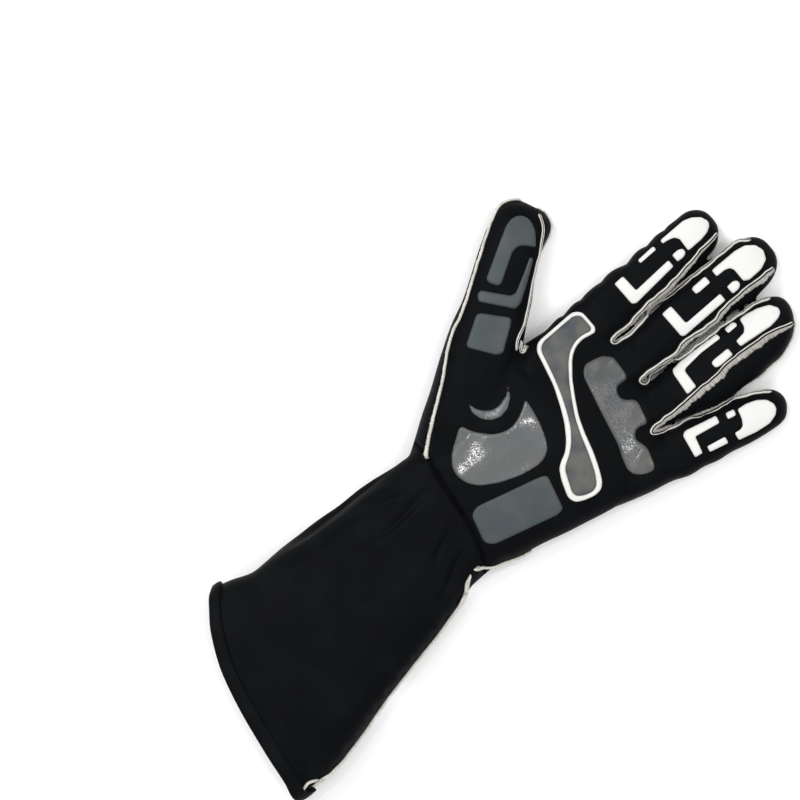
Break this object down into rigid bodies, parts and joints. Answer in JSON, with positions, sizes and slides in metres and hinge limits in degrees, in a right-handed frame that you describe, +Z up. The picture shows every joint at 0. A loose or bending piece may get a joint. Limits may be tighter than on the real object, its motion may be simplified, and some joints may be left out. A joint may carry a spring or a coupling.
{
  "type": "karting glove",
  "caption": "Left-hand karting glove with a long flared gauntlet, lying palm up, with outside seams and silicone palm grips.",
  "frame": {"origin": "on the resting plane under the middle of the wrist", "axes": "+Y along the glove towards the fingertips, +X towards the little finger, +Z up out of the palm"},
  "size_m": [0.1718, 0.3583, 0.0347],
  "materials": {
    "cloth": "black knitted fabric with white and grey printed bands on the back",
    "hem_cloth": "black bound edge",
    "seam_edge": "pale raw seam edge, sewn outside",
    "white_silicone": "white silicone print, satin",
    "grey_silicone": "grey silicone print, glossy"
  },
  "bodies": {
    "root": {"back_gauntlet_panel": "cloth", "back_panel": "cloth", "back_seam_cuff": "seam_edge", "back_seam_index_middle": "seam_edge", "back_seam_middle_ring": "seam_edge", "back_seam_ring_little": "seam_edge", "back_seam_thumb": "seam_edge", "bone_border_grip": "white_silicone", "bone_grip": "grey_silicone", "crescent_grip": "grey_silicone", "fourchette_index_middle": "cloth", "fourchette_middle_ring": "cloth", "fourchette_ring_little": "cloth", "gauntlet_panel": "cloth", "heel_grip": "grey_silicone", "hem_band": "hem_cloth", "index_bar_grip": "white_silicone", "index_bracket_grip": "white_silicone", "index_dot_grip": "white_silicone", "index_tip_grip": "white_silicone", "knuckle_grip": "grey_silicone", "little_bar_grip": "white_silicone", "little_bracket_grip": "white_silicone", "little_dot_grip": "white_silicone", "little_tip_grip": "white_silicone", "middle_bar_grip": "white_silicone", "middle_bracket_grip": "white_silicone", "middle_dot_grip": "white_silicone", "middle_tip_grip": "white_silicone", "palm_panel": "cloth", "ring_bar_grip": "white_silicone", "ring_bracket_grip": "white_silicone", "ring_dot_grip": "white_silicone", "ring_tip_grip": "white_silicone", "seam_cuff_edge": "seam_edge", "seam_hand_edge": "seam_edge", "seam_index_middle": "seam_edge", "seam_middle_ring": "seam_edge", "seam_ring_little": "seam_edge", "seam_thumb_inner": "seam_edge", "seam_thumb_outer": "seam_edge", "thenar_grip": "grey_silicone", "thumb_bracket_grip": "grey_silicone", "thumb_gusset": "cloth", "thumb_root_grip": "grey_silicone", "thumb_tip_grip": "grey_silicone"}
  },
  "joints": []
}
